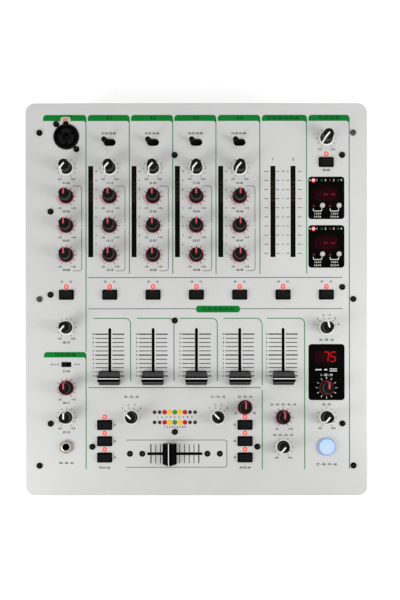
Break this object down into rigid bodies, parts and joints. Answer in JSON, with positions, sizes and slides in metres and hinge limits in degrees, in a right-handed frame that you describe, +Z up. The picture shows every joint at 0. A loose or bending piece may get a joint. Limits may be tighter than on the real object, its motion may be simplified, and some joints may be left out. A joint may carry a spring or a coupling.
{
  "type": "dj mixer",
  "caption": "Tabletop DJ mixer: a flat silver face plate with knobs, faders, toggles, lit keys and dark display windows on a tray case with rear sockets.",
  "frame": {"origin": "on the supporting surface under the middle of the face plate", "axes": "+Z up, +X to the right of the person at the mixer, +Y to the rear with the sockets"},
  "size_m": [0.32, 0.367, 0.1045],
  "materials": {
    "plate_paint": "satin silver paint",
    "case_paint": "textured dark grey powder coat",
    "foot_rubber": "matte rubber",
    "screw_black": "black oxide",
    "board_green": "solder resist",
    "spacer_steel": "plated",
    "switch_plastic": "moulded",
    "track_steel": "plated",
    "supply_steel": "varnished laminations and cans",
    "socket_black": "moulded black with metal fittings",
    "window_tint": "dark tinted acrylic",
    "lamp_red": "diffused lamp lens",
    "knob_white": "black cap with white skirt and pointer",
    "knob_red": "black cap with red skirt and pointer",
    "fader_black": "black cap with white line",
    "toggle_black": "moulded black",
    "rocker_black": "moulded black",
    "key_black": "moulded black",
    "key_grey": "moulded light grey",
    "key_blue": "translucent, lit from inside"
  },
  "bodies": {
    "case": {"face_plate": "plate_paint", "chassis_tray": "case_paint", "rubber_feet": "foot_rubber", "panel_screws": "screw_black", "control_board": "board_green", "board_spacers": "spacer_steel", "control_bodies": "switch_plastic", "fader_tracks": "track_steel", "power_supply": "supply_steel", "sockets": "socket_black", "display_windows": "window_tint", "indicator_lamps": "lamp_red"},
    "mic_trim_knob": {"mic_trim_knob": "knob_white"},
    "mic_high_knob": {"mic_high_knob": "knob_red"},
    "mic_mid_knob": {"mic_mid_knob": "knob_red"},
    "mic_low_knob": {"mic_low_knob": "knob_red"},
    "channel_1_trim_knob": {"channel_1_trim_knob": "knob_white"},
    "channel_1_high_knob": {"channel_1_high_knob": "knob_red"},
    "channel_1_mid_knob": {"channel_1_mid_knob": "knob_red"},
    "channel_1_low_knob": {"channel_1_low_knob": "knob_red"},
    "channel_2_trim_knob": {"channel_2_trim_knob": "knob_white"},
    "channel_2_high_knob": {"channel_2_high_knob": "knob_red"},
    "channel_2_mid_knob": {"channel_2_mid_knob": "knob_red"},
    "channel_2_low_knob": {"channel_2_low_knob": "knob_red"},
    "channel_3_trim_knob": {"channel_3_trim_knob": "knob_white"},
    "channel_3_high_knob": {"channel_3_high_knob": "knob_red"},
    "channel_3_mid_knob": {"channel_3_mid_knob": "knob_red"},
    "channel_3_low_knob": {"channel_3_low_knob": "knob_red"},
    "channel_4_trim_knob": {"channel_4_trim_knob": "knob_white"},
    "channel_4_high_knob": {"channel_4_high_knob": "knob_red"},
    "channel_4_mid_knob": {"channel_4_mid_knob": "knob_red"},
    "channel_4_low_knob": {"channel_4_low_knob": "knob_red"},
    "surround_knob": {"surround_knob": "knob_white"},
    "talk_knob": {"talk_knob": "knob_white"},
    "monitor_mix_knob": {"monitor_mix_knob": "knob_red"},
    "monitor_level_knob": {"monitor_level_knob": "knob_white"},
    "assign_a_knob": {"assign_a_knob": "knob_white"},
    "assign_b_knob": {"assign_b_knob": "knob_white"},
    "curve_knob": {"curve_knob": "knob_red"},
    "balance_knob": {"balance_knob": "knob_red"},
    "booth_knob": {"booth_knob": "knob_white"},
    "source_knob": {"source_knob": "knob_white"},
    "program_knob": {"program_knob": "knob_red"},
    "effects_level_knob": {"effects_level_knob": "knob_white"},
    "channel_1_fader": {"channel_1_fader": "fader_black"},
    "channel_2_fader": {"channel_2_fader": "fader_black"},
    "channel_3_fader": {"channel_3_fader": "fader_black"},
    "channel_4_fader": {"channel_4_fader": "fader_black"},
    "master_fader": {"master_fader": "fader_black"},
    "crossfader": {"crossfader": "fader_black"},
    "channel_1_toggle": {"channel_1_toggle": "toggle_black"},
    "channel_2_toggle": {"channel_2_toggle": "toggle_black"},
    "channel_3_toggle": {"channel_3_toggle": "toggle_black"},
    "channel_4_toggle": {"channel_4_toggle": "toggle_black"},
    "mode_slider": {"mode_slider": "toggle_black"},
    "power_rocker": {"power_rocker": "rocker_black"},
    "cue_buttons": {"cue_buttons": "key_black"},
    "kill_buttons": {"kill_buttons": "key_black"},
    "display_keys": {"display_keys": "key_grey"},
    "effects_button": {"effects_button": "key_blue"}
  },
  "joints": [
    {"name": "mic_trim_turn", "type": "hinge", "parent": "case", "child": "mic_trim_knob", "pos_m": [-0.1215, 0.1225, 0.088], "axis": [0, 0, -1], "range_deg": [0, 280]},
    {"name": "mic_high_turn", "type": "hinge", "parent": "case", "child": "mic_high_knob", "pos_m": [-0.1215, 0.096, 0.088], "axis": [0, 0, -1], "range_deg": [-140, 140]},
    {"name": "mic_mid_turn", "type": "hinge", "parent": "case", "child": "mic_mid_knob", "pos_m": [-0.1215, 0.06865, 0.088], "axis": [0, 0, -1], "range_deg": [-140, 140]},
    {"name": "mic_low_turn", "type": "hinge", "parent": "case", "child": "mic_low_knob", "pos_m": [-0.1215, 0.0413, 0.088], "axis": [0, 0, -1], "range_deg": [-140, 140]},
    {"name": "channel_1_trim_turn", "type": "hinge", "parent": "case", "child": "channel_1_trim_knob", "pos_m": [-0.081, 0.1225, 0.088], "axis": [0, 0, -1], "range_deg": [0, 280]},
    {"name": "channel_1_high_turn", "type": "hinge", "parent": "case", "child": "channel_1_high_knob", "pos_m": [-0.081, 0.096, 0.088], "axis": [0, 0, -1], "range_deg": [-140, 140]},
    {"name": "channel_1_mid_turn", "type": "hinge", "parent": "case", "child": "channel_1_mid_knob", "pos_m": [-0.081, 0.06865, 0.088], "axis": [0, 0, -1], "range_deg": [-140, 140]},
    {"name": "channel_1_low_turn", "type": "hinge", "parent": "case", "child": "channel_1_low_knob", "pos_m": [-0.081, 0.0413, 0.088], "axis": [0, 0, -1], "range_deg": [-140, 140]},
    {"name": "channel_2_trim_turn", "type": "hinge", "parent": "case", "child": "channel_2_trim_knob", "pos_m": [-0.0405, 0.1225, 0.088], "axis": [0, 0, -1], "range_deg": [0, 280]},
    {"name": "channel_2_high_turn", "type": "hinge", "parent": "case", "child": "channel_2_high_knob", "pos_m": [-0.0405, 0.096, 0.088], "axis": [0, 0, -1], "range_deg": [-140, 140]},
    {"name": "channel_2_mid_turn", "type": "hinge", "parent": "case", "child": "channel_2_mid_knob", "pos_m": [-0.0405, 0.06865, 0.088], "axis": [0, 0, -1], "range_deg": [-140, 140]},
    {"name": "channel_2_low_turn", "type": "hinge", "parent": "case", "child": "channel_2_low_knob", "pos_m": [-0.0405, 0.0413, 0.088], "axis": [0, 0, -1], "range_deg": [-140, 140]},
    {"name": "channel_3_trim_turn", "type": "hinge", "parent": "case", "child": "channel_3_trim_knob", "pos_m": [0, 0.1225, 0.088], "axis": [0, 0, -1], "range_deg": [0, 280]},
    {"name": "channel_3_high_turn", "type": "hinge", "parent": "case", "child": "channel_3_high_knob", "pos_m": [0, 0.096, 0.088], "axis": [0, 0, -1], "range_deg": [-140, 140]},
    {"name": "channel_3_mid_turn", "type": "hinge", "parent": "case", "child": "channel_3_mid_knob", "pos_m": [0, 0.06865, 0.088], "axis": [0, 0, -1], "range_deg": [-140, 140]},
    {"name": "channel_3_low_turn", "type": "hinge", "parent": "case", "child": "channel_3_low_knob", "pos_m": [0, 0.0413, 0.088], "axis": [0, 0, -1], "range_deg": [-140, 140]},
    {"name": "channel_4_trim_turn", "type": "hinge", "parent": "case", "child": "channel_4_trim_knob", "pos_m": [0.0405, 0.1225, 0.088], "axis": [0, 0, -1], "range_deg": [0, 280]},
    {"name": "channel_4_high_turn", "type": "hinge", "parent": "case", "child": "channel_4_high_knob", "pos_m": [0.0405, 0.096, 0.088], "axis": [0, 0, -1], "range_deg": [-140, 140]},
    {"name": "channel_4_mid_turn", "type": "hinge", "parent": "case", "child": "channel_4_mid_knob", "pos_m": [0.0405, 0.06865, 0.088], "axis": [0, 0, -1], "range_deg": [-140, 140]},
    {"name": "channel_4_low_turn", "type": "hinge", "parent": "case", "child": "channel_4_low_knob", "pos_m": [0.0405, 0.0413, 0.088], "axis": [0, 0, -1], "range_deg": [-140, 140]},
    {"name": "surround_turn", "type": "hinge", "parent": "case", "child": "surround_knob", "pos_m": [0.1215, 0.1502, 0.088], "axis": [0, 0, -1], "range_deg": [0, 280]},
    {"name": "talk_turn", "type": "hinge", "parent": "case", "child": "talk_knob", "pos_m": [-0.1215, -0.0265, 0.088], "axis": [0, 0, -1], "range_deg": [0, 280]},
    {"name": "monitor_mix_turn", "type": "hinge", "parent": "case", "child": "monitor_mix_knob", "pos_m": [-0.1215, -0.08285, 0.088], "axis": [0, 0, -1], "range_deg": [-140, 140]},
    {"name": "monitor_level_turn", "type": "hinge", "parent": "case", "child": "monitor_level_knob", "pos_m": [-0.1215, -0.11035, 0.088], "axis": [0, 0, -1], "range_deg": [-140, 140]},
    {"name": "assign_a_turn", "type": "hinge", "parent": "case", "child": "assign_a_knob", "pos_m": [-0.06075, -0.11035, 0.088], "axis": [0, 0, -1], "range_deg": [0, 90]},
    {"name": "assign_b_turn", "type": "hinge", "parent": "case", "child": "assign_b_knob", "pos_m": [0.02025, -0.11035, 0.088], "axis": [0, 0, -1], "range_deg": [0, 90]},
    {"name": "curve_turn", "type": "hinge", "parent": "case", "child": "curve_knob", "pos_m": [0.04535, -0.1011, 0.088], "axis": [0, 0, -1], "range_deg": [-140, 140]},
    {"name": "balance_turn", "type": "hinge", "parent": "case", "child": "balance_knob", "pos_m": [0.081, -0.11035, 0.088], "axis": [0, 0, -1], "range_deg": [-140, 140]},
    {"name": "booth_turn", "type": "hinge", "parent": "case", "child": "booth_knob", "pos_m": [0.081, -0.13785, 0.088], "axis": [0, 0, -1], "range_deg": [0, 280]},
    {"name": "source_turn", "type": "hinge", "parent": "case", "child": "source_knob", "pos_m": [0.1215, -0.0265, 0.088], "axis": [0, 0, -1], "range_deg": [-60, 90]},
    {"name": "program_turn", "type": "hinge", "parent": "case", "child": "program_knob", "pos_m": [0.1215, -0.08285, 0.088], "axis": [0, 0, -1], "continuous": true},
    {"name": "effects_level_turn", "type": "hinge", "parent": "case", "child": "effects_level_knob", "pos_m": [0.1215, -0.11035, 0.088], "axis": [0, 0, -1], "range_deg": [0, 280]},
    {"name": "channel_1_fader_slide", "type": "slide", "parent": "case", "child": "channel_1_fader", "axis": [0, 1, 0], "range_m": [-0.001, 0.044]},
    {"name": "channel_2_fader_slide", "type": "slide", "parent": "case", "child": "channel_2_fader", "axis": [0, 1, 0], "range_m": [-0.001, 0.044]},
    {"name": "channel_3_fader_slide", "type": "slide", "parent": "case", "child": "channel_3_fader", "axis": [0, 1, 0], "range_m": [-0.001, 0.044]},
    {"name": "channel_4_fader_slide", "type": "slide", "parent": "case", "child": "channel_4_fader", "axis": [0, 1, 0], "range_m": [-0.001, 0.044]},
    {"name": "master_fader_slide", "type": "slide", "parent": "case", "child": "master_fader", "axis": [0, 1, 0], "range_m": [-0.001, 0.044]},
    {"name": "crossfader_slide", "type": "slide", "parent": "case", "child": "crossfader", "axis": [1, 0, 0], "range_m": [-0.017, 0.028]},
    {"name": "channel_1_toggle_throw", "type": "hinge", "parent": "case", "child": "channel_1_toggle", "pos_m": [-0.081, 0.1468, 0.079], "axis": [0, 1, 0], "range_deg": [0, 26]},
    {"name": "channel_2_toggle_throw", "type": "hinge", "parent": "case", "child": "channel_2_toggle", "pos_m": [-0.0405, 0.1468, 0.079], "axis": [0, 1, 0], "range_deg": [0, 26]},
    {"name": "channel_3_toggle_throw", "type": "hinge", "parent": "case", "child": "channel_3_toggle", "pos_m": [0, 0.1468, 0.079], "axis": [0, 1, 0], "range_deg": [0, 26]},
    {"name": "channel_4_toggle_throw", "type": "hinge", "parent": "case", "child": "channel_4_toggle", "pos_m": [0.0405, 0.1468, 0.079], "axis": [0, 1, 0], "range_deg": [0, 26]},
    {"name": "mode_slide", "type": "slide", "parent": "case", "child": "mode_slider", "axis": [1, 0, 0], "range_m": [0, 0.004]},
    {"name": "power_rocker_tip", "type": "hinge", "parent": "case", "child": "power_rocker", "pos_m": [-0.126, 0.168, 0.049], "axis": [1, 0, 0], "range_deg": [-18, 0]},
    {"name": "cue_buttons_press", "type": "slide", "parent": "case", "child": "cue_buttons", "axis": [0, 0, -1], "range_m": [0, 0.0008], "stiffness_N_per_m": 400, "springref_m": -0.002},
    {"name": "kill_buttons_press", "type": "slide", "parent": "case", "child": "kill_buttons", "axis": [0, 0, -1], "range_m": [0, 0.0008], "stiffness_N_per_m": 400, "springref_m": -0.002},
    {"name": "display_keys_press", "type": "slide", "parent": "case", "child": "display_keys", "axis": [0, 0, -1], "range_m": [0, 0.0005], "stiffness_N_per_m": 400, "springref_m": -0.002},
    {"name": "effects_button_press", "type": "slide", "parent": "case", "child": "effects_button", "axis": [0, 0, -1], "range_m": [0, 0.0008], "stiffness_N_per_m": 400, "springref_m": -0.002}
  ]
}
